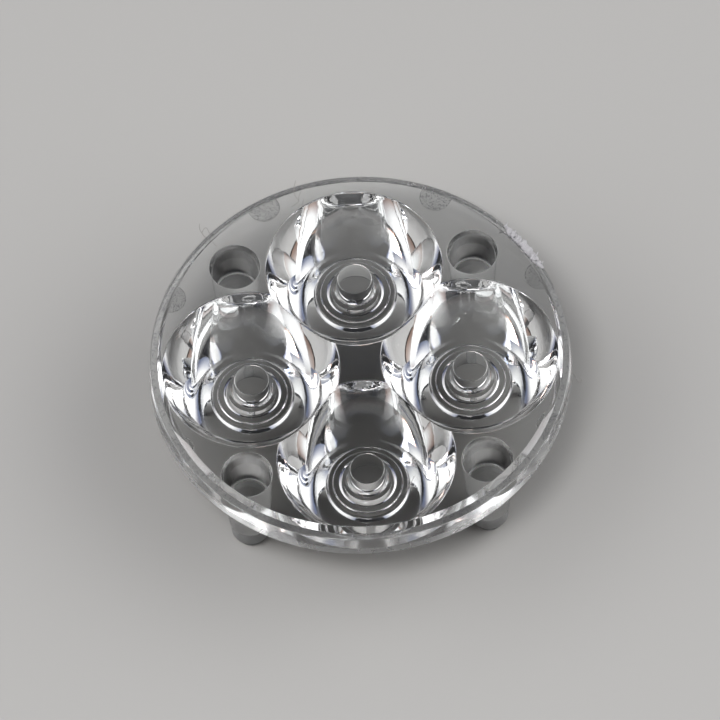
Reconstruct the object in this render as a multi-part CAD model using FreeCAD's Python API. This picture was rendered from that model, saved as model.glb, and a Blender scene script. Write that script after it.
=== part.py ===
"""Four-cell total internal reflection lens, moulded in one piece from clear acrylic.

A round plate carries four solid collimators and four legs on its underside. The row's +Z axis is the
light's way out, and its origin is the middle of the plane that the four leg tips stand on. The cells
lie on the X and Y axes and the legs lie on the diagonals. Everything is in millimetres.
"""
import FreeCAD, Part
import math
import os

from FreeCAD import Vector

# Plate: a flange with a drafted edge, and a raised land that is the light exit face
FLANGE_RADIUS = 25.0
FLANGE_HEIGHT = 2.9
FLANGE_DRAFT = 4.5
FACE_RADIUS = 23.45
FACE_RISE = 0.9
LEDGE_INNER_RADIUS = 23.95
EDGE_BREAK = 0.15

# Collimator cells: solid paraboloid-like bodies that reflect at their outer wall and end in a short collar
CELL_COUNT = 4
CELL_CENTRE_RADIUS = 12.97
CELL_TOP_RADIUS = 10.57
CELL_WALL_DEPTH = 9.2
CELL_BULGE = 0.5
COLLAR_RADIUS = 4.72
COLLAR_HEIGHT = 0.4

# Lamp pocket in the foot of each cell: a lip, a flat seat, a cone, a ledge, and a drafted bore with a lens on top
LIP_WIDTH = 0.53
SEAT_OUTER_RADIUS = 4.05
SEAT_INNER_RADIUS = 3.43
SEAT_RISE = 0.35
CONE_TOP_RADIUS = 2.95
CONE_HEIGHT = 1.18
POCKET_MOUTH_RADIUS = 2.49
POCKET_MOUTH_RISE = 0.1
POCKET_CEILING_RADIUS = 2.06
POCKET_CEILING_DEPTH = 4.12
POCKET_LENS_SAG = 0.1

# Legs: a drafted post, a pin that locates in the lamp board's hole, and a tapered tip with a rounded end
LEG_COUNT = 4
LEG_CENTRE_RADIUS = 20.0
LEG_ROOT_RADIUS = 3.0
LEG_SHOULDER_RADIUS = 2.5
POST_LENGTH = 9.15
PIN_RADIUS = 2.3
PIN_LENGTH = 2.3
TIP_RADIUS = 1.4
TIP_LENGTH = 2.05
TIP_ROUND = 0.3

# Ejector marks: shallow round prints on the underside, cut off by the plate's edge
EJECTOR_RADIUS = 1.9
EJECTOR_CENTRE_RADIUS = 24.3
EJECTOR_DEPTH = 0.06
EJECTOR_OFFSET = 20.0

# Gate: the stub that is left where the moulding was snapped off its runner, flush with the ledge
GATE_ANGLE = 36.0
GATE_SPREAD = 15.0
GATE_HEIGHT = 2.2
GATE_STANDOUT = 0.12
GATE_ROOT = 1.0

UNDERSIDE = POST_LENGTH + PIN_LENGTH + TIP_LENGTH
LEDGE_LEVEL = UNDERSIDE + FLANGE_HEIGHT
FACE_LEVEL = LEDGE_LEVEL + FACE_RISE
COLLAR_TOP = UNDERSIDE - CELL_WALL_DEPTH
CELL_FOOT = COLLAR_TOP - COLLAR_HEIGHT


def revolve(points_and_edges):
    """Turn a closed half section in the XZ plane round the Z axis into a solid."""
    wire = Part.Wire(points_and_edges)
    solid = Part.Face(wire).revolve(Vector(0, 0, 0), Vector(0, 0, 1), 360)
    return solid if solid.Volume > 0 else solid.reversed()


def point(radius, height):
    """A point of a half section."""
    return Vector(radius, 0, height)


def polyline(points):
    """Straight edges through the points, in order, back to the first one."""
    closed = points + points[:1]
    return [Part.LineSegment(a, b).toShape() for a, b in zip(closed, closed[1:])]


def on_circle(shape, radius, angle):
    """A copy of a shape that stands on the axis, moved out to a radius at an angle in degrees."""
    copy = shape.copy()
    copy.translate(Vector(radius, 0, 0))
    copy.rotate(Vector(0, 0, 0), Vector(0, 0, 1), angle)
    return copy


def plate():
    """The flange, its drafted edge with a small break at the top, and the raised exit face."""
    draft = math.tan(math.radians(FLANGE_DRAFT))
    ledge_radius = FLANGE_RADIUS - FLANGE_HEIGHT * draft
    break_level = LEDGE_LEVEL - EDGE_BREAK
    return revolve(polyline([
        point(0, UNDERSIDE),
        point(FLANGE_RADIUS, UNDERSIDE),
        point(FLANGE_RADIUS - (break_level - UNDERSIDE) * draft, break_level),
        point(ledge_radius - EDGE_BREAK, LEDGE_LEVEL),
        point(LEDGE_INNER_RADIUS, LEDGE_LEVEL),
        point(FACE_RADIUS, FACE_LEVEL),
        point(0, FACE_LEVEL),
    ]))


def cell():
    """One solid collimator on the axis, from inside the plate down to the collar at its foot."""
    middle = (CELL_TOP_RADIUS + COLLAR_RADIUS) / 2 + CELL_BULGE
    wall = Part.Arc(
        point(CELL_TOP_RADIUS, UNDERSIDE),
        point(middle, UNDERSIDE - CELL_WALL_DEPTH / 2),
        point(COLLAR_RADIUS, COLLAR_TOP),
    ).toShape()
    root = UNDERSIDE + FLANGE_HEIGHT / 2
    outline = [
        point(COLLAR_RADIUS, COLLAR_TOP),
        point(COLLAR_RADIUS, CELL_FOOT),
        point(0, CELL_FOOT),
        point(0, root),
        point(CELL_TOP_RADIUS, root),
        point(CELL_TOP_RADIUS, UNDERSIDE),
    ]
    return revolve([Part.LineSegment(a, b).toShape() for a, b in zip(outline, outline[1:])] + [wall])


def pocket():
    """The hollow in a cell's foot. Its ceiling bulges down into it as a lens."""
    seat = CELL_FOOT + SEAT_RISE
    cone_top = seat + CONE_HEIGHT
    ceiling = UNDERSIDE - POCKET_CEILING_DEPTH
    sag_level = ceiling - POCKET_LENS_SAG
    half = POCKET_CEILING_RADIUS / 2
    lens_radius = (POCKET_CEILING_RADIUS ** 2 + POCKET_LENS_SAG ** 2) / (2 * POCKET_LENS_SAG)
    half_level = sag_level + lens_radius - math.sqrt(lens_radius ** 2 - half ** 2)
    outline = [
        point(0, CELL_FOOT),
        point(COLLAR_RADIUS - LIP_WIDTH, CELL_FOOT),
        point(SEAT_OUTER_RADIUS, seat),
        point(SEAT_INNER_RADIUS, seat),
        point(CONE_TOP_RADIUS, cone_top),
        point(POCKET_MOUTH_RADIUS, cone_top + POCKET_MOUTH_RISE),
        point(POCKET_CEILING_RADIUS, ceiling),
    ]
    edges = [Part.LineSegment(a, b).toShape() for a, b in zip(outline, outline[1:])]
    edges.append(Part.Arc(outline[-1], point(half, half_level), point(0, sag_level)).toShape())
    edges.append(Part.LineSegment(point(0, sag_level), outline[0]).toShape())
    return revolve(edges)


def leg():
    """One leg on the axis: the drafted post, the shoulder, the pin and its tapered tip."""
    root = UNDERSIDE + FLANGE_HEIGHT / 2
    shoulder = UNDERSIDE - POST_LENGTH
    post = revolve(polyline([
        point(0, root),
        point(LEG_ROOT_RADIUS, root),
        point(LEG_ROOT_RADIUS, UNDERSIDE),
        point(LEG_SHOULDER_RADIUS, shoulder),
        point(PIN_RADIUS, shoulder),
        point(PIN_RADIUS, TIP_LENGTH),
        point(TIP_RADIUS, 0),
        point(0, 0),
    ]))
    end = [edge for edge in post.Edges if edge.BoundBox.ZMax < TIP_LENGTH / 2]
    return post.makeFillet(TIP_ROUND, end)


def ejector_mark():
    """The disc that an ejector pin sank into the underside."""
    return Part.makeCylinder(EJECTOR_RADIUS, EJECTOR_DEPTH, Vector(0, 0, UNDERSIDE))


def gate_stub():
    """A thin curved scab on the edge of the flange, as wide as the gate that fed it."""
    outer = FLANGE_RADIUS + GATE_STANDOUT
    inner = FLANGE_RADIUS - GATE_ROOT
    bottom = Vector(0, 0, LEDGE_LEVEL - GATE_HEIGHT)
    sector = Part.makeCylinder(outer, GATE_HEIGHT, bottom, Vector(0, 0, 1), GATE_SPREAD)
    core = Part.makeCylinder(inner, GATE_HEIGHT, bottom, Vector(0, 0, 1), GATE_SPREAD)
    stub = sector.cut(core)
    stub.rotate(Vector(0, 0, 0), Vector(0, 0, 1), GATE_ANGLE - GATE_SPREAD / 2)
    return stub


def quad_lens():
    """The whole moulding."""
    cell_angles = [360.0 / CELL_COUNT * i for i in range(CELL_COUNT)]
    leg_angles = [360.0 / LEG_COUNT * (i + 0.5) for i in range(LEG_COUNT)]
    bodies = [on_circle(cell(), CELL_CENTRE_RADIUS, a) for a in cell_angles]
    bodies += [on_circle(leg(), LEG_CENTRE_RADIUS, a) for a in leg_angles]
    hollows = [on_circle(pocket(), CELL_CENTRE_RADIUS, a) for a in cell_angles]
    for angle in leg_angles:
        for side in (-EJECTOR_OFFSET, EJECTOR_OFFSET):
            hollows.append(on_circle(ejector_mark(), EJECTOR_CENTRE_RADIUS, angle + side))
    solid = plate().fuse(bodies + [gate_stub()]).removeSplitter()
    return solid.cut(hollows).removeSplitter()


def main():
    """Build the lens, report its main figures and write its file."""
    os.makedirs("parts", exist_ok=True)
    lens = quad_lens()
    box = lens.BoundBox
    print("valid", lens.isValid(), "solids", len(lens.Solids), "faces", len(lens.Faces))
    print("volume mm3 %.1f" % lens.Volume)
    print("box %.3f %.3f %.3f  %.3f %.3f %.3f" % (box.XMin, box.YMin, box.ZMin, box.XMax, box.YMax, box.ZMax))
    lens.Solids[0].exportStep("parts/quad_lens.step")


main()
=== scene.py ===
"""Looks of a four-cell total internal reflection lens, moulded in one shot of clear acrylic.

Sizes are in millimetres and follow the solid model's own values. Every mesh is scaled to metres as its
last step. The cells lie on the X and Y axes, the legs on the diagonals, and the light leaves along +Z.
"""
import logging
import math
import random
from dataclasses import dataclass, field
from enum import Enum

import bmesh
import bpy
from mathutils import Matrix, Vector, noise

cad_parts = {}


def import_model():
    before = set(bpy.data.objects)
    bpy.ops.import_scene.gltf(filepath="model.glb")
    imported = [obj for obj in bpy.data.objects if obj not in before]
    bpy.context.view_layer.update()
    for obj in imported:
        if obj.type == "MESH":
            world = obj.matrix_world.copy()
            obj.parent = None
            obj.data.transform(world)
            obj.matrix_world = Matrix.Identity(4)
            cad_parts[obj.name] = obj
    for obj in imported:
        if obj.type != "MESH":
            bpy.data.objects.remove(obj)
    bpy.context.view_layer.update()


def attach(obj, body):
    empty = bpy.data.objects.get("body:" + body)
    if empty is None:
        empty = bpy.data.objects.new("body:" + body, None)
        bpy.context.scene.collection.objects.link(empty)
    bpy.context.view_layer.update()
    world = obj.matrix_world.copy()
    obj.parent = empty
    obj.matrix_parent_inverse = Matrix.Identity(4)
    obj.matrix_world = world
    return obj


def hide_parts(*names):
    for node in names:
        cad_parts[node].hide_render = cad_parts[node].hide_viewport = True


LOG = logging.getLogger("quad_lens")
BODY = "root"
NODE = "quad_lens"
METRES_PER_MM = 0.001

# The lens is one quarter, repeated, and a quarter has its leg on the diagonal
QUARTERS = 4
DIAGONAL = 45.0

# Heights that several pieces share, in millimetres over the leg tips
UNDERSIDE = 13.5
LEDGE = 16.4

# Points nearer than this count as one, in millimetres
CLOSE = 1e-3

# A corner this far off a section's end is left out again. It only gives the end its direction
LEAD = 1.0

# A face whose normal leans less than this from the Z axis is flat
LEVEL = 1e-6

Section = list[tuple[float, float, float]]


class Zone(Enum):
    """The finishes that the mould gave to the parts of the lens, in the order of the material slots."""

    POLISHED = 0
    REFLECTOR = 1
    LEG_POST = 2
    SATIN_PIN = 3
    GROUND_LEDGE = 4
    DRAFTED_EDGE = 5
    EJECTOR_PRINT = 6
    FACE_STEP = 7
    HONED_EDGE = 8


def linear(code: str) -> tuple[float, float, float, float]:
    """Turn an sRGB hex colour into the linear colour that a shader wants.

    Args:
        code: The colour as six hex digits.

    Returns:
        Red, green, blue and an alpha of one.
    """
    parts = [int(code[i:i + 2], 16) / 255 for i in (0, 2, 4)]
    red, green, blue = (c / 12.92 if c <= 0.04045 else ((c + 0.055) / 1.055) ** 2.4 for c in parts)
    return red, green, blue, 1.0


def add_node(
    tree: bpy.types.NodeTree, kind: str, links: dict | None = None, **settings: object
) -> bpy.types.Node:
    """Add one node with its settings and the values or links of its inputs.

    Args:
        tree: The node tree that takes the node.
        kind: The node's type name in Blender.
        links: Input names or numbers, each with a value or with the socket that feeds it.
        settings: Properties of the node itself.

    Returns:
        The new node.
    """
    node = tree.nodes.new(kind)
    for name, value in settings.items():
        setattr(node, name, value)
    for name, value in (links or {}).items():
        if isinstance(value, bpy.types.NodeSocket):
            tree.links.new(value, node.inputs[name])
        else:
            node.inputs[name].default_value = value
    return node


def half_section(corners: Section, steps: int = 5) -> list[Vector]:
    """Turn corners into the points of a half section, with an arc at each rounded corner.

    Args:
        corners: Radius, height and edge radius of each corner.
        steps: The number of chords in each arc.

    Returns:
        Points in the XZ plane.
    """
    points = []
    for i, (radius, height, edge) in enumerate(corners):
        corner = Vector((radius, 0, height))
        if not edge:
            points.append(corner)
            continue
        back, ahead = (
            (Vector((corners[j][0], 0, corners[j][1])) - corner).normalized()
            for j in (i - 1, i + 1)
        )
        half = back.angle(ahead) / 2
        centre = corner + (back + ahead).normalized() * edge / math.sin(half)
        arm = corner + back * edge / math.tan(half) - centre
        axis = back.cross(ahead).normalized()
        for k in range(steps + 1):
            turn = Matrix.Rotation((2 * half - math.pi) * k / steps, 3, axis)
            points.append(centre + turn @ arm)
    return points


def spin_section(
    bm: bmesh.types.BMesh, points: list[Vector], steps: int, zone: Zone, axis_x: float = 0.0
) -> None:
    """Spin a half section once round an upright axis.

    Args:
        bm: The mesh that takes the faces.
        points: The half section, with its radii measured from the axis.
        steps: Faces in the full turn.
        zone: The finish of the new faces.
        axis_x: Where the axis stands on X.
    """
    offset = Vector((axis_x, 0, 0))
    old_faces = set(bm.faces)
    verts = [bm.verts.new(point + offset) for point in points]
    edges = [bm.edges.new(pair) for pair in zip(verts, verts[1:])]
    bmesh.ops.spin(
        bm, geom=verts + edges, cent=offset, axis=(0, 0, 1), dvec=(0, 0, 0),
        angle=math.tau, steps=steps, use_merge=True,
    )
    for face in set(bm.faces) - old_faces:
        face.material_index = zone.value


def graft(bm: bmesh.types.BMesh, other: bmesh.types.BMesh) -> None:
    """Add another mesh to a mesh. The other one is freed.

    Args:
        bm: The mesh that grows.
        other: The mesh that goes in.
    """
    carrier = bpy.data.meshes.new("graft")
    other.to_mesh(carrier)
    other.free()
    bm.from_mesh(carrier)
    bpy.data.meshes.remove(carrier)


def turned(angle: float, size: int = 3) -> Matrix:
    """The matrix of a turn round the Z axis by an angle in degrees."""
    return Matrix.Rotation(math.radians(angle), size, "Z")


def rim_at(bm: bmesh.types.BMesh, height: float) -> list[bmesh.types.BMEdge]:
    """The open edges of a mesh that lie at a height."""
    return [
        edge for edge in bm.edges
        if edge.is_boundary and all(abs(v.co.z - height) < CLOSE for v in edge.verts)
    ]


def to_object(
    bm: bmesh.types.BMesh, name: str, materials: list[bpy.types.Material]
) -> bpy.types.Object:
    """Scale a finished mesh to metres and put it into the scene.

    Args:
        bm: The mesh in millimetres. It is freed.
        name: The object's name.
        materials: Its material slots in order.

    Returns:
        The new object, at the origin, riding on the lens's body.
    """
    bmesh.ops.scale(bm, vec=(METRES_PER_MM,) * 3, verts=bm.verts)
    mesh = bpy.data.meshes.new(name)
    bm.to_mesh(mesh)
    bm.free()
    for material in materials:
        mesh.materials.append(material)
    piece = bpy.data.objects.new(name, mesh)
    bpy.context.scene.collection.objects.link(piece)
    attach(piece, BODY)
    LOG.info("%s: %d faces", name, len(mesh.polygons))
    return piece


@dataclass
class Plate:
    """The flange with its drafted edge, its ledge, and the raised face that the light leaves by."""

    underside: float = UNDERSIDE
    radius: float = 25.0
    flange_height: float = 2.9
    draft: float = 4.5
    face_radius: float = 23.45
    face_rise: float = 0.9
    step_foot_radius: float = 23.95
    rim_round: float = 0.16
    parting_round: float = 0.05
    satin_band: float = 1.1
    face_round: float = 0.07
    steps: int = 360

    @property
    def ledge(self) -> float:
        """The height of the ledge."""
        return self.underside + self.flange_height

    @property
    def face(self) -> float:
        """The height of the exit face."""
        return self.ledge + self.face_rise

    def bands(self) -> bmesh.types.BMesh:
        """Make the flange's edge, the ledge and the step up to the face.

        Returns:
            A mesh of its own, because a spin is slow in a mesh that holds much already.
        """
        bm = bmesh.new()
        slope = math.tan(math.radians(self.draft))
        top_radius = self.radius - self.flange_height * slope
        seam = Vector((self.radius - self.satin_band * slope, 0, self.underside + self.satin_band))
        edge = half_section([
            (self.radius - LEAD, self.underside, 0),
            (self.radius, self.underside, self.parting_round),
            (top_radius, self.ledge, self.rim_round),
            (self.step_foot_radius, self.ledge, 0),
        ])
        below = [p for p in edge[1:-1] if p.z < seam.z]
        above = [p for p in edge[1:-1] if p.z > seam.z]
        spin_section(bm, [*below, seam], self.steps, Zone.DRAFTED_EDGE)
        spin_section(bm, [seam, *above], self.steps, Zone.HONED_EDGE)
        step = half_section([
            (top_radius, self.ledge, 0),
            (self.step_foot_radius, self.ledge, self.face_round),
            (self.face_radius, self.face, self.face_round),
            (0, self.face, 0),
        ])
        spin_section(bm, [edge[-2], step[1]], self.steps, Zone.GROUND_LEDGE)
        spin_section(bm, step[1:-1], self.steps, Zone.FACE_STEP)
        return bm

    def close_face(self, bm: bmesh.types.BMesh) -> None:
        """Close the exit face with one flat face."""
        rim = rim_at(bm, self.face)
        made = bmesh.ops.edgeloop_fill(bm, edges=rim, mat_nr=Zone.POLISHED.value)
        LOG.info("exit face closed by %d face", len(made["faces"]))

    def close_underside(self, bm: bmesh.types.BMesh, web_reach: float) -> None:
        """Fill the underside round the cells, legs and prints, and the small web between the cells.

        Args:
            bm: The mesh, whose open edges on the underside bound the two flat areas.
            web_reach: A radius between the middle web and the outer area.
        """
        rims = rim_at(bm, self.underside)
        inner = [e for e in rims if e.verts[0].co.xy.length < web_reach]
        outer = [e for e in rims if e.verts[0].co.xy.length >= web_reach]
        for loop in (inner, outer):
            made = bmesh.ops.triangle_fill(bm, edges=loop, use_beauty=True, normal=(0, 0, -1))
            for face in made["geom"]:
                if isinstance(face, bmesh.types.BMFace):
                    face.material_index = Zone.POLISHED.value


@dataclass
class Cell:
    """One solid collimator: a wall that reflects from inside, and a stepped pocket for the lamp."""

    underside: float = UNDERSIDE
    centre_radius: float = 12.97
    top_radius: float = 10.57
    wall_slope: float = 0.42
    wall_curve: float = 0.0235
    wall_depth: float = 9.2
    collar_radius: float = 4.72
    collar_height: float = 0.4
    root_round: float = 0.12
    lip_width: float = 0.53
    seat_outer_radius: float = 4.05
    seat_inner_radius: float = 3.43
    seat_rise: float = 0.35
    cone_top_radius: float = 2.95
    cone_height: float = 1.18
    bead_radii: tuple[float, ...] = (2.8, 2.64)
    bead_run: float = 0.03
    mouth_radius: float = 2.49
    mouth_rise: float = 0.1
    ceiling_radius: float = 2.06
    ceiling_depth: float = 4.12
    lens_sag: float = 0.1
    lens_edge_run: float = 0.3
    lens_edge_dip: float = 0.02
    collar_round: float = 0.09
    mouth_round: float = 0.07
    ceiling_round: float = 0.15
    edge_round: float = 0.07
    fine_round: float = 0.02
    wall_rings: int = 27
    lens_rings: int = 8
    steps: int = 176

    def wall_radius(self, depth: float) -> float:
        """The wall's radius at a depth below the underside."""
        return self.top_radius - self.wall_slope * depth - self.wall_curve * depth ** 2

    def section(self) -> list[Vector]:
        """Draw the half section of the cell.

        Returns:
            Points from the underside down the wall, round the foot and up into the pocket.
        """
        collar_top = self.underside - self.wall_depth
        foot = collar_top - self.collar_height
        seat = foot + self.seat_rise
        cone_top = seat + self.cone_height
        ceiling = self.underside - self.ceiling_depth
        depths = [
            self.wall_depth * (i + 1) / (self.wall_rings + 1) for i in range(self.wall_rings)
        ]
        rise = self.mouth_rise / (len(self.bead_radii) + 1)
        beads = []
        for i, radius in enumerate(self.bead_radii):
            beads.append((radius, cone_top + rise * i, self.fine_round))
            beads.append((radius - self.bead_run, cone_top + rise * (i + 1), self.fine_round))
        corners = [
            (self.top_radius + LEAD, self.underside, 0),
            (self.top_radius, self.underside, self.root_round),
            *((self.wall_radius(d), self.underside - d, 0) for d in depths),
            (self.collar_radius, collar_top, self.edge_round),
            (self.collar_radius, foot, self.collar_round),
            (self.collar_radius - self.lip_width, foot, self.edge_round),
            (self.seat_outer_radius, seat, self.edge_round),
            (self.seat_inner_radius, seat, self.edge_round),
            (self.cone_top_radius, cone_top, self.edge_round),
            *beads,
            (self.mouth_radius, cone_top + self.mouth_rise, self.mouth_round),
            (self.ceiling_radius, ceiling, self.ceiling_round),
            (self.ceiling_radius - self.lens_edge_run, ceiling - self.lens_edge_dip, 0),
        ]
        curve = (self.ceiling_radius ** 2 + self.lens_sag ** 2) / (2 * self.lens_sag)
        lens = []
        for i in range(1, self.lens_rings + 1):
            radius = (self.ceiling_radius - self.lens_edge_run) * (1 - i / self.lens_rings)
            height = ceiling - self.lens_sag + curve - math.sqrt(curve ** 2 - radius ** 2)
            lens.append(Vector((radius, 0, height)))
        return half_section(corners)[1:-1] + lens

    def spin(self, bm: bmesh.types.BMesh) -> None:
        """Add the cell on +X, cut where its neighbours' walls meet it on the two diagonals.

        Args:
            bm: An empty mesh, because the cut goes through all that it holds.
        """
        spin_section(bm, self.section(), self.steps, Zone.REFLECTOR, self.centre_radius)
        bmesh.ops.remove_doubles(bm, verts=bm.verts, dist=CLOSE)
        for side in (-1, 1):
            bmesh.ops.bisect_plane(
                bm, geom=bm.verts[:] + bm.edges[:] + bm.faces[:], dist=CLOSE / 100,
                plane_co=(0, 0, 0), plane_no=(-1, side, 0), clear_outer=True,
            )


@dataclass
class Leg:
    """A drafted post that seats on the lamp board, with a pin and a tapered tip below its shoulder."""

    underside: float = UNDERSIDE
    centre_radius: float = 20.0
    root_radius: float = 3.0
    shoulder_radius: float = 2.5
    shoulder: float = 4.35
    pin_radius: float = 2.3
    tip_length: float = 2.05
    tip_radius: float = 1.4
    root_round: float = 0.1
    taper_round: float = 0.15
    tip_round: float = 0.3
    edge_round: float = 0.06
    steps: int = 96

    def spin(self, bm: bmesh.types.BMesh) -> None:
        """Add the leg on the diagonal between +X and +Y.

        Args:
            bm: The mesh that takes it.
        """
        post = half_section([
            (self.root_radius + LEAD, self.underside, 0),
            (self.root_radius, self.underside, self.root_round),
            (self.shoulder_radius, self.shoulder, self.edge_round),
            (self.pin_radius, self.shoulder, 0),
        ])[1:-1]
        pin = half_section([
            (self.shoulder_radius, self.shoulder, 0),
            (self.pin_radius, self.shoulder, self.edge_round),
            (self.pin_radius, self.tip_length, self.taper_round),
            (self.tip_radius, 0, self.tip_round),
            (0, 0, 0),
        ])[1:]
        old = set(bm.verts)
        spin_section(bm, post, self.steps, Zone.LEG_POST, self.centre_radius)
        spin_section(bm, [post[-1], *pin], self.steps, Zone.SATIN_PIN, self.centre_radius)
        new = [v for v in bm.verts if v not in old]
        bmesh.ops.rotate(bm, verts=new, cent=(0, 0, 0), matrix=turned(DIAGONAL))


@dataclass
class EjectorPrint:
    """The round mark that an ejector pin sank into the underside, cut off at the plate's edge."""

    underside: float = UNDERSIDE
    radius: float = 1.9
    centre_radius: float = 24.3
    cut_radius: float = 24.75
    depth: float = 0.06
    wall: float = 0.07
    steps: int = 64

    def sink(self, bm: bmesh.types.BMesh, angle: float) -> None:
        """Add one print.

        Args:
            bm: The mesh that takes it.
            angle: Its place round the plate, in degrees.
        """
        old = set(bm.verts)
        bmesh.ops.create_circle(
            bm, cap_ends=True, radius=self.radius, segments=self.steps,
            matrix=Matrix.Translation((self.centre_radius, 0, self.underside)),
        )
        made = [v for v in bm.verts if v not in old]
        disc = made[0].link_faces[0]
        bmesh.ops.bisect_plane(
            bm, geom=[*made, *disc.edges, disc], plane_co=(self.cut_radius, 0, 0),
            plane_no=(1, 0, 0), clear_outer=True,
        )
        made = [v for v in bm.verts if v not in old]
        face = made[0].link_faces[0]
        if face.normal.z > 0:
            bmesh.ops.reverse_faces(bm, faces=[face])
        face.material_index = Zone.EJECTOR_PRINT.value
        bmesh.ops.inset_region(
            bm, faces=[face], use_boundary=True, thickness=self.wall, depth=-self.depth
        )
        made = [v for v in bm.verts if v not in old]
        bmesh.ops.rotate(bm, verts=made, cent=(0, 0, 0), matrix=turned(angle))


@dataclass
class Moulding:
    """The whole clear moulding as one closed mesh."""

    plate: Plate = field(default_factory=Plate)
    cell: Cell = field(default_factory=Cell)
    leg: Leg = field(default_factory=Leg)
    ejector: EjectorPrint = field(default_factory=EjectorPrint)
    print_offset: float = 20.0
    web_reach: float = 8.0
    sharp_angle: float = 25.0

    def build(self, materials: list[bpy.types.Material]) -> bpy.types.Object:
        """Build a quarter, repeat it, close it with the plate, and mark its sharp edges.

        Args:
            materials: One material for each zone, in the zones' order.

        Returns:
            The piece that stands for the solid model's node.
        """
        bm = bmesh.new()
        self.cell.spin(bm)
        self.leg.spin(bm)
        for offset in (-self.print_offset, self.print_offset):
            self.ejector.sink(bm, DIAGONAL + offset)
        quarter = bm.verts[:] + bm.edges[:] + bm.faces[:]
        for turn in range(1, QUARTERS):
            copy = bmesh.ops.duplicate(bm, geom=quarter)["geom"]
            bmesh.ops.rotate(
                bm, verts=[v for v in copy if isinstance(v, bmesh.types.BMVert)], cent=(0, 0, 0),
                matrix=turned(360 / QUARTERS * turn),
            )
        graft(bm, self.plate.bands())
        bmesh.ops.remove_doubles(bm, verts=bm.verts, dist=CLOSE)
        self.plate.close_face(bm)
        self.plate.close_underside(bm, self.web_reach)
        bmesh.ops.recalc_face_normals(bm, faces=bm.faces)
        loose = sum(1 for e in bm.edges if not e.is_manifold)
        LOG.info("moulding: %d open edges, volume %.1f mm3", loose, bm.calc_volume(signed=True))
        self.mark_sharp(bm)
        piece = to_object(bm, "lens_moulding", materials)
        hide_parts(NODE)
        return piece

    def mark_sharp(self, bm: bmesh.types.BMesh) -> None:
        """Shade every face smooth, and keep flat faces and hard corners crisp."""
        limit = math.radians(self.sharp_angle)
        for face in bm.faces:
            face.smooth = True
        for edge in bm.edges:
            flat = [abs(f.normal.z) > 1 - LEVEL for f in edge.link_faces]
            edge.smooth = edge.calc_face_angle(0) < limit and len(set(flat)) < 2


@dataclass(frozen=True)
class Acrylic:
    """PMMA as one zone of the mould left it.

    A polished wall gives a water-clear, mirror-crisp surface. A spark-eroded or ground wall prints its
    grain on the plastic, which turns it to a satin grey that glows where a lamp is behind it. The grain
    is the size of the tool mark, drawn as coarse as it has to be to show. The drift is how far the
    roughness wanders over a few millimetres, and the flecks are the specks that a worn wall leaves.
    """

    name: str
    colour: str = "FCFDFD"
    ior: float = 1.491
    roughness: float = 0.0
    clarity: float = 1.0
    grain_mm: float = 0.0
    grain_depth_mm: float = 0.0
    grain_stretch: float = 1.0
    drift_mm: float = 3.0
    drift: float = 0.0
    fleck_colour: str = ""
    fleck_mm: float = 0.3
    cloud_range: tuple[float, float] = (0.3, 0.7)
    fleck_range: tuple[float, float] = (0.52, 0.62)

    def material(self) -> bpy.types.Material:
        """Make the material.

        Returns:
            The plastic, with its grain as bump and a slow drift in its roughness.
        """
        material = bpy.data.materials.new(self.name)
        material.use_nodes = True
        tree = material.node_tree
        tree.nodes.clear()
        place = add_node(tree, "ShaderNodeTexCoord").outputs["Object"]
        inputs = {
            "Base Color": linear(self.colour), "Roughness": self.roughness,
            "IOR": self.ior, "Transmission Weight": self.clarity,
        }
        if self.drift:
            cloud = add_node(tree, "ShaderNodeTexNoise", {
                "Vector": place, "Scale": 1 / (self.drift_mm * METRES_PER_MM), "Detail": 4.0,
            })
            inputs["Roughness"] = add_node(tree, "ShaderNodeMapRange", {
                "Value": cloud.outputs[0],
                "From Min": self.cloud_range[0], "From Max": self.cloud_range[1],
                "To Min": max(0.0, self.roughness - self.drift),
                "To Max": self.roughness + self.drift,
            }).outputs[0]
        if self.fleck_colour:
            flecks = add_node(tree, "ShaderNodeTexNoise", {
                "Vector": place, "Scale": 1 / (self.fleck_mm * METRES_PER_MM),
                "Detail": 2.0, "Roughness": 0.7,
            })
            share = add_node(tree, "ShaderNodeMapRange", {
                "Value": flecks.outputs[0],
                "From Min": self.fleck_range[0], "From Max": self.fleck_range[1],
            })
            inputs["Base Color"] = add_node(tree, "ShaderNodeMix", {
                "Factor": share.outputs[0],
                "A": linear(self.colour), "B": linear(self.fleck_colour),
            }, data_type="RGBA").outputs["Result"]
        if self.grain_mm:
            drawn = add_node(tree, "ShaderNodeMapping", {
                "Vector": place, "Scale": (1, 1, 1 / self.grain_stretch),
            })
            grain = add_node(tree, "ShaderNodeTexNoise", {
                "Vector": drawn.outputs[0], "Scale": 1 / (self.grain_mm * METRES_PER_MM),
                "Detail": 3.0, "Roughness": 0.6,
            })
            inputs["Normal"] = add_node(tree, "ShaderNodeBump", {
                "Height": grain.outputs[0], "Distance": self.grain_depth_mm * METRES_PER_MM,
                "Strength": 1.0,
            }).outputs[0]
        shader = add_node(tree, "ShaderNodeBsdfPrincipled", inputs)
        add_node(tree, "ShaderNodeOutputMaterial", {"Surface": shader.outputs["BSDF"]})
        return material


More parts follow.
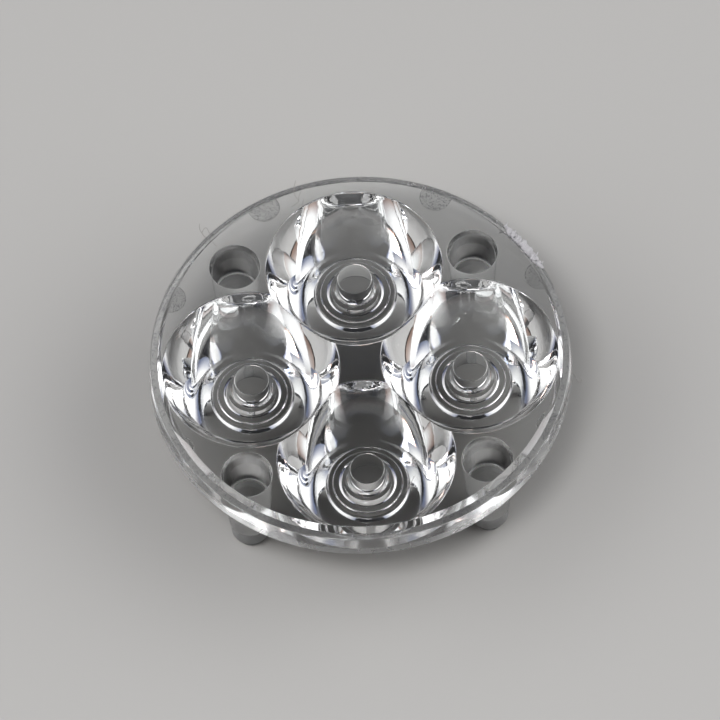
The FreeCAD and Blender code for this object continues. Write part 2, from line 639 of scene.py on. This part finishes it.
FINISHES = {
    # Mirror-polished steel: the face is as clear as water, and the ground shows through it
    Zone.POLISHED: Acrylic("polished_moulded_acrylic"),
    # Diamond-turned and polished steel: bright reflections whose edges waver a little
    Zone.REFLECTOR: Acrylic("turned_mould_acrylic", grain_mm=2.6, grain_depth_mm=0.004),
    # A bore polished along its length: a soft grey sheen, drawn out up and down the post
    Zone.LEG_POST: Acrylic(
        "drawn_mould_acrylic", roughness=0.12, grain_mm=0.35, grain_depth_mm=0.012,
        grain_stretch=12.0, drift=0.05,
    ),
    # A spark-eroded sleeve: an even, milky satin
    Zone.SATIN_PIN: Acrylic(
        "satin_moulded_acrylic", roughness=0.8, clarity=0.88, grain_mm=0.14,
        grain_depth_mm=0.012, drift=0.06,
    ),
    # A ground ring of the mould: a frosted band with fine grey specks
    Zone.GROUND_LEDGE: Acrylic(
        "ground_mould_acrylic", roughness=0.2, clarity=0.93, grain_mm=0.22,
        grain_depth_mm=0.02, drift=0.06, fleck_colour="B4B7BC", fleck_mm=0.25,
    ),
    # Spark-eroded steel: a pale, soft band that takes the light along the foot of the edge
    Zone.DRAFTED_EDGE: Acrylic(
        "spark_eroded_mould_acrylic", roughness=0.28, clarity=0.82, grain_mm=0.14,
        grain_depth_mm=0.004, drift=0.04,
    ),
    # The face of an ejector pin: a speckled grey disc
    Zone.EJECTOR_PRINT: Acrylic(
        "ejector_printed_acrylic", roughness=0.25, clarity=0.9, grain_mm=0.16,
        grain_depth_mm=0.03, fleck_colour="54575C", fleck_mm=0.13,
    ),
    # Polished steel that has lost some of its lustre: a bright line with a soft edge
    Zone.FACE_STEP: Acrylic("polished_step_acrylic", roughness=0.07),
    # Stoned steel: clearer than the band below it, so that blurred blocks of light show through
    Zone.HONED_EDGE: Acrylic(
        "honed_mould_acrylic", roughness=0.16, clarity=0.96, grain_mm=0.18,
        grain_depth_mm=0.004, drift=0.05,
    ),
}


@dataclass(frozen=True)
class TornAcrylic:
    """PMMA where the gate was snapped off: crazed all through, so it looks white and rough."""

    colour: str = "E9E7EA"
    roughness: float = 0.45
    clarity: float = 0.3
    tear_mm: float = 0.18
    tear_depth_mm: float = 0.05

    def material(self) -> bpy.types.Material:
        """Make the material, with a coarse torn grain as bump."""
        return Acrylic(
            "torn_gate_acrylic", colour=self.colour, roughness=self.roughness, clarity=self.clarity,
            grain_mm=self.tear_mm, grain_depth_mm=self.tear_depth_mm,
        ).material()


@dataclass(frozen=True)
class Lint:
    """Cotton and paper fibres, and the dust that a charged plastic draws: matt and mottled."""

    colour: str = "B5B1AE"
    dark_colour: str = "77736F"
    roughness: float = 0.8
    mottle_mm: float = 0.4

    def material(self) -> bpy.types.Material:
        """Make the material, mottled between its two colours."""
        material = bpy.data.materials.new("cotton_lint")
        material.use_nodes = True
        tree = material.node_tree
        tree.nodes.clear()
        place = add_node(tree, "ShaderNodeTexCoord").outputs["Object"]
        cloud = add_node(tree, "ShaderNodeTexNoise", {
            "Vector": place, "Scale": 1 / (self.mottle_mm * METRES_PER_MM),
        })
        tone = add_node(tree, "ShaderNodeMix", {
            "Factor": cloud.outputs[0], "A": linear(self.dark_colour), "B": linear(self.colour),
        }, data_type="RGBA")
        shader = add_node(tree, "ShaderNodeBsdfPrincipled", {
            "Base Color": tone.outputs["Result"], "Roughness": self.roughness,
        })
        add_node(tree, "ShaderNodeOutputMaterial", {"Surface": shader.outputs["BSDF"]})
        return material


@dataclass
class GateScar:
    """The torn white strip on the flange's edge, where the moulding was snapped off its runner.

    A burr has its angle, radius and height, its length, and the way it leans in degrees. A run of
    crumbs has its two angles, its two radii, its height and how many there are.
    """

    start: float = 25.0
    end: float = 42.5
    ledge: float = LEDGE
    corner_radius: float = 24.77
    inner_radius: float = 24.02
    bottom: float = 14.2
    draft: float = 4.5
    skin: float = 0.1
    root: float = 0.24
    ragged: float = 0.42
    calm: float = 0.15
    tear_mm: float = 0.42
    tear_octaves: int = 4
    coarse_share: float = 0.6
    fine_share: float = 0.3
    fine_rate: float = 3.0
    swell: float = 0.1
    end_rate: float = 5.0
    end_wander: float = 0.04
    end_wander_rate: float = 3.0
    end_shrink: float = 0.75
    steps: int = 150
    around: int = 5
    burr_sides: int = 8
    burr_radii: tuple[float, float] = (0.14, 0.04)
    burr_tilt: float = 72.0
    burr_wander: float = 0.12
    burr_wander_rate: float = 4.0
    burrs: tuple[tuple[float, float, float, float, float], ...] = (
        (41.9, 24.5, 16.5, 0.6, 6.0),
        (40.6, 24.0, 16.45, 0.9, 160.0),
        (38.4, 24.8, 16.45, 0.35, 40.0),
        (35.3, 24.8, 16.45, 0.4, -30.0),
        (32.2, 24.05, 16.5, 0.75, 195.0),
        (31.3, 24.1, 16.5, 0.5, 130.0),
        (29.0, 24.6, 16.45, 0.75, 25.0),
        (28.2, 24.4, 16.5, 0.5, 150.0),
        (26.4, 24.75, 16.4, 0.4, 15.0),
    )
    crumb_runs: tuple[tuple[float, float, float, float, float, int], ...] = (
        (65.5, 76.0, 24.05, 24.6, 16.42, 26),
        (261.5, 280.0, 23.7, 24.4, 16.5, 22),
        (44.0, 52.0, 24.0, 24.6, 16.42, 8),
    )
    crumb_sizes: tuple[float, float] = (0.025, 0.075)
    seed: int = 3

    def build(self, material: bpy.types.Material) -> bpy.types.Object:
        """Sweep the strip along the edge, tear its surface, and stand the burrs on it.

        Args:
            material: The torn plastic.

        Returns:
            The finished piece.
        """
        # Without a seed the burrs would bend another way in each run
        noise.seed_set(self.seed)
        bm = bmesh.new()
        outer = self.edge_radius(self.bottom)
        corners = [
            (self.inner_radius, self.ledge - self.root),
            (self.inner_radius, self.ledge + self.skin),
            (self.corner_radius, self.ledge + self.skin),
            (self.corner_radius + self.skin, self.ledge - self.skin),
            (outer + self.skin, self.bottom),
            (outer - self.root, self.bottom),
            (self.corner_radius - self.root, self.ledge - self.root),
        ]
        verts = []
        for i, (radius, height) in enumerate(corners):
            ahead = corners[(i + 1) % len(corners)]
            for k in range(self.around):
                share = k / self.around
                verts.append(bm.verts.new((
                    radius + (ahead[0] - radius) * share, 0, height + (ahead[1] - height) * share,
                )))
        edges = [bm.edges.new((verts[i - 1], verts[i])) for i in range(len(verts))]
        bmesh.ops.rotate(bm, verts=verts, matrix=turned(self.start))
        bmesh.ops.spin(
            bm, geom=verts + edges, cent=(0, 0, 0), axis=(0, 0, 1), dvec=(0, 0, 0),
            angle=math.radians(self.end - self.start), steps=self.steps, use_merge=False,
        )
        bmesh.ops.holes_fill(bm, edges=[e for e in bm.edges if e.is_boundary], sides=0)
        bmesh.ops.recalc_face_normals(bm, faces=bm.faces)
        self.tear(bm)
        for angle, radius, height, length, heading in self.burrs:
            self.burr(bm, angle, radius, height, length, heading)
        self.crumbs(bm)
        for face in bm.faces:
            face.smooth = True
        return to_object(bm, "gate_scar", [material])

    def crumbs(self, bm: bmesh.types.BMesh) -> None:
        """Strew the fine crumbs of torn plastic that cling to the rim.

        Args:
            bm: The strip's mesh.
        """
        rng = random.Random(self.seed)
        for start, end, inner, outer, height, count in self.crumb_runs:
            for _ in range(count):
                angle = math.radians(rng.uniform(start, end))
                radius = rng.uniform(inner, outer)
                place = Vector((radius * math.cos(angle), radius * math.sin(angle), height))
                sizes = [rng.uniform(*self.crumb_sizes) for _ in range(3)]
                turn = Matrix.Rotation(rng.uniform(0, math.tau), 4, "Z")
                bmesh.ops.create_icosphere(
                    bm, subdivisions=1, radius=1.0,
                    matrix=Matrix.Translation(place) @ turn @ Matrix.Diagonal((*sizes, 1)),
                )

    def edge_radius(self, height: float) -> float:
        """The radius of the flange's drafted edge at a height."""
        return self.corner_radius + (self.ledge - height) * math.tan(math.radians(self.draft))

    def tear(self, bm: bmesh.types.BMesh) -> None:
        """Roughen the strip where it stands clear of the plastic, and narrow it towards both ends.

        Args:
            bm: The strip's mesh.
        """
        bm.normal_update()
        moves = []
        for vert in bm.verts:
            x, y, z = vert.co
            spread = vert.co.xy.length
            bare = z > self.ledge or spread > self.edge_radius(z)
            along = (math.degrees(math.atan2(y, x)) - self.start) / (self.end - self.start)
            wander = self.end_wander * noise.noise(
                Vector((z * self.end_wander_rate, spread * self.end_wander_rate, 0))
            )
            fade = max(0.0, min(1.0, self.end_rate * (min(along, 1 - along) + wander)))
            coarse = noise.fractal(vert.co / self.tear_mm, 1.0, 2.0, self.tear_octaves)
            fine = noise.noise(vert.co * self.fine_rate / self.tear_mm)
            rough = self.coarse_share * coarse + self.fine_share * fine + self.swell
            lift = self.ragged * fade * rough * (1.0 if bare else self.calm)
            corner = Vector((x, y, 0)) * self.corner_radius / spread + Vector((0, 0, self.ledge))
            inward = (corner - vert.co) * (1 - fade) * self.end_shrink
            moves.append((vert, vert.normal * lift + inward))
        for vert, move in moves:
            vert.co += move

    def burr(
        self, bm: bmesh.types.BMesh, angle: float, radius: float, height: float,
        length: float, heading: float,
    ) -> None:
        """Stand one thin torn splinter on the strip.

        Args:
            bm: The strip's mesh.
            angle: Its place round the plate, in degrees.
            radius: Its foot's distance from the lens's axis.
            height: Its foot's height.
            length: How long it is.
            heading: Which way it leans, in degrees from the outward direction.
        """
        old = set(bm.verts)
        bmesh.ops.create_cone(
            bm, cap_ends=True, segments=self.burr_sides, radius1=self.burr_radii[0],
            radius2=self.burr_radii[1], depth=length,
            matrix=Matrix.Translation((0, 0, length / 2)),
        )
        new = [v for v in bm.verts if v not in old]
        for vert in new:
            bend = noise.noise_vector(Vector((angle, heading, self.burr_wander_rate * vert.co.z)))
            vert.co += bend * self.burr_wander * vert.co.z / length
        lean = turned(angle + heading, 4) @ Matrix.Rotation(math.radians(self.burr_tilt), 4, "Y")
        bearing = math.radians(angle)
        foot = Vector((radius * math.cos(bearing), radius * math.sin(bearing), height))
        bmesh.ops.transform(bm, matrix=Matrix.Translation(foot) @ lean, verts=new)


@dataclass
class Dirt:
    """Loose fibres on the rim and the face, and the dust on the face."""

    fibre_radius: float = 0.028
    face: float = 17.31
    speck_count: int = 70
    speck_reach: float = 22.8
    speck_sizes: tuple[float, float] = (0.018, 0.055)
    speck_stretch: tuple[float, float] = (0.6, 1.3)
    speck_height: float = 0.6
    seed: int = 7
    fibres: tuple[tuple[tuple[float, float, float], ...], ...] = (
        ((-18.0, 19.43, 16.6), (-18.12, 18.98, 16.3), (-17.8, 18.5, 15.9), (-17.3, 18.02, 15.3),
         (-17.0, 17.75, 14.9)),
        ((-17.8, 18.5, 15.9), (-17.6, 19.0, 16.1), (-17.2, 19.12, 16.2), (-16.95, 18.6, 15.9),
         (-16.8, 18.2, 15.5)),
        ((-16.75, 16.6, 17.35), (-16.4, 16.1, 17.4), (-16.1, 15.7, 17.32)),
        ((-6.28, 24.3, 17.0), (-6.46, 23.42, 17.4), (-6.6, 22.5, 17.36), (-6.4, 21.85, 17.34),
         (-6.0, 21.3, 17.36)),
        ((-5.7, 22.5, 17.5), (-6.1, 21.8, 17.4), (-5.95, 21.3, 17.36), (-6.4, 20.85, 17.34),
         (-7.0, 20.5, 17.33)),
        ((-5.45, 21.4, 17.45), (-5.6, 20.98, 17.36), (-5.7, 20.5, 17.33)),
        ((24.8, -3.3, 15.1), (25.1, -3.7, 15.1), (25.3, -4.4, 15.0), (25.6, -4.75, 14.9),
         (25.9, -4.5, 15.0), (25.8, -4.1, 15.1), (25.6, -4.2, 15.2)),
        ((-9.4, -19.2, 17.34), (-8.9, -19.9, 17.36), (-8.7, -20.7, 17.33)),
        ((3.9, -19.4, 17.34), (4.9, -18.3, 17.36), (5.4, -17.2, 17.33)),
    )
    specks: tuple[tuple[float, float], ...] = (
        (-20.22, 11.11), (-19.46, 10.95), (9.64, 17.91), (14.03, 16.77), (19.59, 8.08), (23.0, 2.86),
        (17.01, -12.11), (-10.54, -18.54), (-13.66, -3.98), (-16.0, 6.2),
    )

    def build(self, material: bpy.types.Material) -> None:
        """Lay the fibres and strew the dust.

        Args:
            material: The lint.
        """
        bm = bmesh.new()
        for route in self.fibres:
            self.fibre(bm, route)
        to_object(bm, "lint_fibres", [material])
        rng = random.Random(self.seed)
        bm = bmesh.new()
        for x, y in self.specks:
            self.speck(bm, rng, Vector((x, y, self.face)), self.speck_sizes[1])
        for _ in range(self.speck_count):
            radius = self.speck_reach * math.sqrt(rng.random())
            angle = rng.uniform(0, math.tau)
            place = Vector((radius * math.cos(angle), radius * math.sin(angle), self.face))
            self.speck(bm, rng, place, rng.uniform(*self.speck_sizes))
        to_object(bm, "dust_specks", [material])

    def fibre(self, bm: bmesh.types.BMesh, route: tuple[tuple[float, float, float], ...]) -> None:
        """Add one fibre, a thin tube along a smooth curve.

        Args:
            bm: The mesh that takes it.
            route: The curve's control points.
        """
        curve = bpy.data.curves.new("fibre", "CURVE")
        curve.dimensions = "3D"
        curve.bevel_depth = self.fibre_radius
        curve.bevel_resolution = 2
        curve.resolution_u = 12
        curve.use_fill_caps = True
        spline = curve.splines.new("NURBS")
        spline.points.add(len(route) - 1)
        for point, place in zip(spline.points, route):
            point.co = (*place, 1.0)
        spline.order_u = 3
        spline.use_endpoint_u = True
        carrier = bpy.data.objects.new("fibre", curve)
        bpy.context.scene.collection.objects.link(carrier)
        tube = carrier.evaluated_get(bpy.context.evaluated_depsgraph_get())
        mesh = bpy.data.meshes.new_from_object(tube)
        bm.from_mesh(mesh)
        bpy.data.objects.remove(carrier)
        bpy.data.curves.remove(curve)
        bpy.data.meshes.remove(mesh)

    def speck(
        self, bm: bmesh.types.BMesh, rng: random.Random, place: Vector, size: float
    ) -> None:
        """Add one lumpy speck of dust.

        Args:
            bm: The mesh that takes it.
            rng: The dice.
            place: Where it lies.
            size: Its radius.
        """
        length, width = (size * rng.uniform(*self.speck_stretch) for _ in range(2))
        shape = Matrix.Diagonal((length, width, size * self.speck_height, 1))
        turn = Matrix.Rotation(rng.uniform(0, math.tau), 4, "Z")
        bmesh.ops.create_icosphere(
            bm, subdivisions=1, radius=1.0, matrix=Matrix.Translation(place) @ turn @ shape
        )


@dataclass(frozen=True)
class Lamp:
    """One softbox: its bearing from +X, its height in degrees, how far off it hangs, and its cloth.

    The distance and the cloth's width and height are in metres. The radiance is how bright the middle
    of the cloth looks.
    """

    name: str
    azimuth: float
    elevation: float
    distance: float
    size: tuple[float, float]
    radiance: float


@dataclass
class Studio:
    """A pale table, the lamps round it and the camera of the photograph.

    The camera's values were fitted to the photograph: pixels for the focal length and the principal
    point, degrees for the angles, and metres for the distance.
    """

    image: float = 720.0
    focal_pixels: float = 8650.88
    principal: tuple[float, float] = (360.556, 368.286)
    elevation: float = 60.045
    azimuth: float = -0.586
    roll: float = -3.113
    distance: float = 1.02298
    aim_height: float = UNDERSIDE * METRES_PER_MM
    sensor: float = 36.0
    clip_start: float = 0.01
    lamps: tuple[Lamp, ...] = (
        Lamp("softbox_right", -4, 36, 0.8, (1.4, 1.15), 2.0),
        Lamp("softbox_left", 184, 36, 0.8, (1.4, 1.15), 1.6),
        Lamp("fill_back", 90, 42, 0.9, (0.8, 0.6), 0.45),
        Lamp("key_front", -112, 66, 1.3, (0.5, 0.3), 25.0),
    )
    core: float = 0.12
    corner: float = 0.62
    falloff: float = 0.12
    tint_start: float = 0.38
    low_tint: str = "FFC6A4"
    high_tint: str = "B4CAFF"
    room_colour: str = "3A3A3C"
    room_strength: float = 0.5
    table_reach: float = 6.0
    table_colour: str = "C2C1BE"
    table_roughness: float = 0.6
    bounces: int = 24
    glossy_bounces: int = 12
    diffuse_bounces: int = 4
    clamp: float = 6.0

    def camera(self) -> None:
        """Place the camera where the photograph was taken from."""
        azimuth, elevation, roll = (
            math.radians(a) for a in (self.azimuth, self.elevation, self.roll)
        )
        back = Vector((
            math.sin(azimuth) * math.cos(elevation),
            -math.cos(azimuth) * math.cos(elevation),
            math.sin(elevation),
        ))
        level = Vector((math.cos(azimuth), math.sin(azimuth), 0))
        upright = back.cross(level)
        right = level * math.cos(roll) + upright * math.sin(roll)
        up = upright * math.cos(roll) - level * math.sin(roll)
        metres_per_pixel = self.distance / self.focal_pixels
        middle = self.image / 2
        slide = (
            right * (middle - self.principal[0]) + up * (self.principal[1] - middle)
        ) * metres_per_pixel
        place = Vector((0, 0, self.aim_height)) + back * self.distance + slide
        data = bpy.data.cameras.new("camera")
        data.sensor_width = self.sensor
        data.lens = self.focal_pixels / self.image * self.sensor
        data.clip_start = self.clip_start
        camera = bpy.data.objects.new("camera", data)
        facing = Matrix((right, up, back)).transposed().to_4x4()
        camera.matrix_world = Matrix.Translation(place) @ facing
        bpy.context.scene.collection.objects.link(camera)
        bpy.context.scene.camera = camera

    def softbox(self, lamp: Lamp) -> None:
        """Hang one softbox that faces the lens.

        Its cloth is brightest in the middle. Clear plastic splits white light a little, which the
        renderer doesn't do, so the cloth's border is warm below and cool above.

        Args:
            lamp: Its place, size and brightness.
        """
        bearing, height = math.radians(lamp.azimuth), math.radians(lamp.elevation)
        back = Vector((
            math.cos(bearing) * math.cos(height),
            math.sin(bearing) * math.cos(height),
            math.sin(height),
        ))
        data = bpy.data.lights.new(lamp.name, "AREA")
        data.shape = "RECTANGLE"
        data.size, data.size_y = lamp.size
        data.energy = math.pi * lamp.size[0] * lamp.size[1]
        data.use_nodes = True
        tree = data.node_tree
        tree.nodes.clear()
        across = add_node(tree, "ShaderNodeNewGeometry").outputs["Parametric"]
        offset = add_node(
            tree, "ShaderNodeVectorMath", {0: across, 1: (0.5, 0.5, 0.0)}, operation="DISTANCE"
        )
        cloth = add_node(tree, "ShaderNodeMapRange", {
            "Value": offset.outputs["Value"], "From Min": self.core, "From Max": self.corner,
            "To Min": lamp.radiance, "To Max": lamp.radiance * self.falloff,
        }, interpolation_type="SMOOTHSTEP")
        spread = add_node(tree, "ShaderNodeMapRange", {
            "Value": offset.outputs["Value"], "From Min": self.tint_start, "From Max": self.corner,
        })
        height_share = add_node(tree, "ShaderNodeSeparateXYZ", {0: across}).outputs["Y"]
        rim_tint = add_node(tree, "ShaderNodeMix", {
            "Factor": height_share, "A": linear(self.low_tint), "B": linear(self.high_tint),
        }, data_type="RGBA").outputs["Result"]
        tint = add_node(tree, "ShaderNodeMix", {
            "Factor": spread.outputs[0], "A": linear("FFFFFF"), "B": rim_tint,
        }, data_type="RGBA").outputs["Result"]
        glow = add_node(tree, "ShaderNodeEmission", {"Color": tint, "Strength": cloth.outputs[0]})
        add_node(tree, "ShaderNodeOutputLight", {"Surface": glow.outputs[0]})
        softbox = bpy.data.objects.new(lamp.name, data)
        softbox.location = back * lamp.distance + Vector((0, 0, self.aim_height))
        softbox.rotation_euler = back.to_track_quat("Z", "Y").to_euler()
        bpy.context.scene.collection.objects.link(softbox)

    def floor(self) -> None:
        """Lay the pale table."""
        bm = bmesh.new()
        bmesh.ops.create_grid(bm, x_segments=1, y_segments=1, size=self.table_reach)
        mesh = bpy.data.meshes.new("table")
        bm.to_mesh(mesh)
        bm.free()
        table = bpy.data.objects.new("table", mesh)
        bpy.context.scene.collection.objects.link(table)
        material = bpy.data.materials.new("pale_painted_board")
        material.use_nodes = True
        shader = material.node_tree.nodes["Principled BSDF"]
        shader.inputs["Base Color"].default_value = linear(self.table_colour)
        shader.inputs["Roughness"].default_value = self.table_roughness
        mesh.materials.append(material)

    def light(self) -> None:
        """Hang the softboxes and darken the room."""
        for lamp in self.lamps:
            self.softbox(lamp)
        world = bpy.data.worlds.new("dark_room")
        world.use_nodes = True
        background = world.node_tree.nodes["Background"]
        background.inputs["Color"].default_value = linear(self.room_colour)
        background.inputs["Strength"].default_value = self.room_strength
        bpy.context.scene.world = world

    def render_settings(self) -> None:
        """Let light pass the many surfaces of a clear part, and keep its colours plain."""
        scene = bpy.context.scene
        scene.cycles.max_bounces = self.bounces
        scene.cycles.transmission_bounces = self.bounces
        scene.cycles.glossy_bounces = self.glossy_bounces
        scene.cycles.diffuse_bounces = self.diffuse_bounces
        scene.cycles.sample_clamp_indirect = self.clamp
        scene.cycles.caustics_refractive = False
        scene.cycles.caustics_reflective = False
        scene.cycles.use_denoising = True
        scene.view_settings.view_transform = "Standard"


def main() -> None:
    """Build the lens, its dirt and its studio, in that order."""
    logging.basicConfig(level=logging.INFO, format="%(name)s: %(message)s")
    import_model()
    Moulding().build([FINISHES[zone].material() for zone in Zone])
    GateScar().build(TornAcrylic().material())
    Dirt().build(Lint().material())
    studio = Studio()
    studio.floor()
    studio.light()
    studio.camera()
    studio.render_settings()


if __name__ == "__main__":
    main()
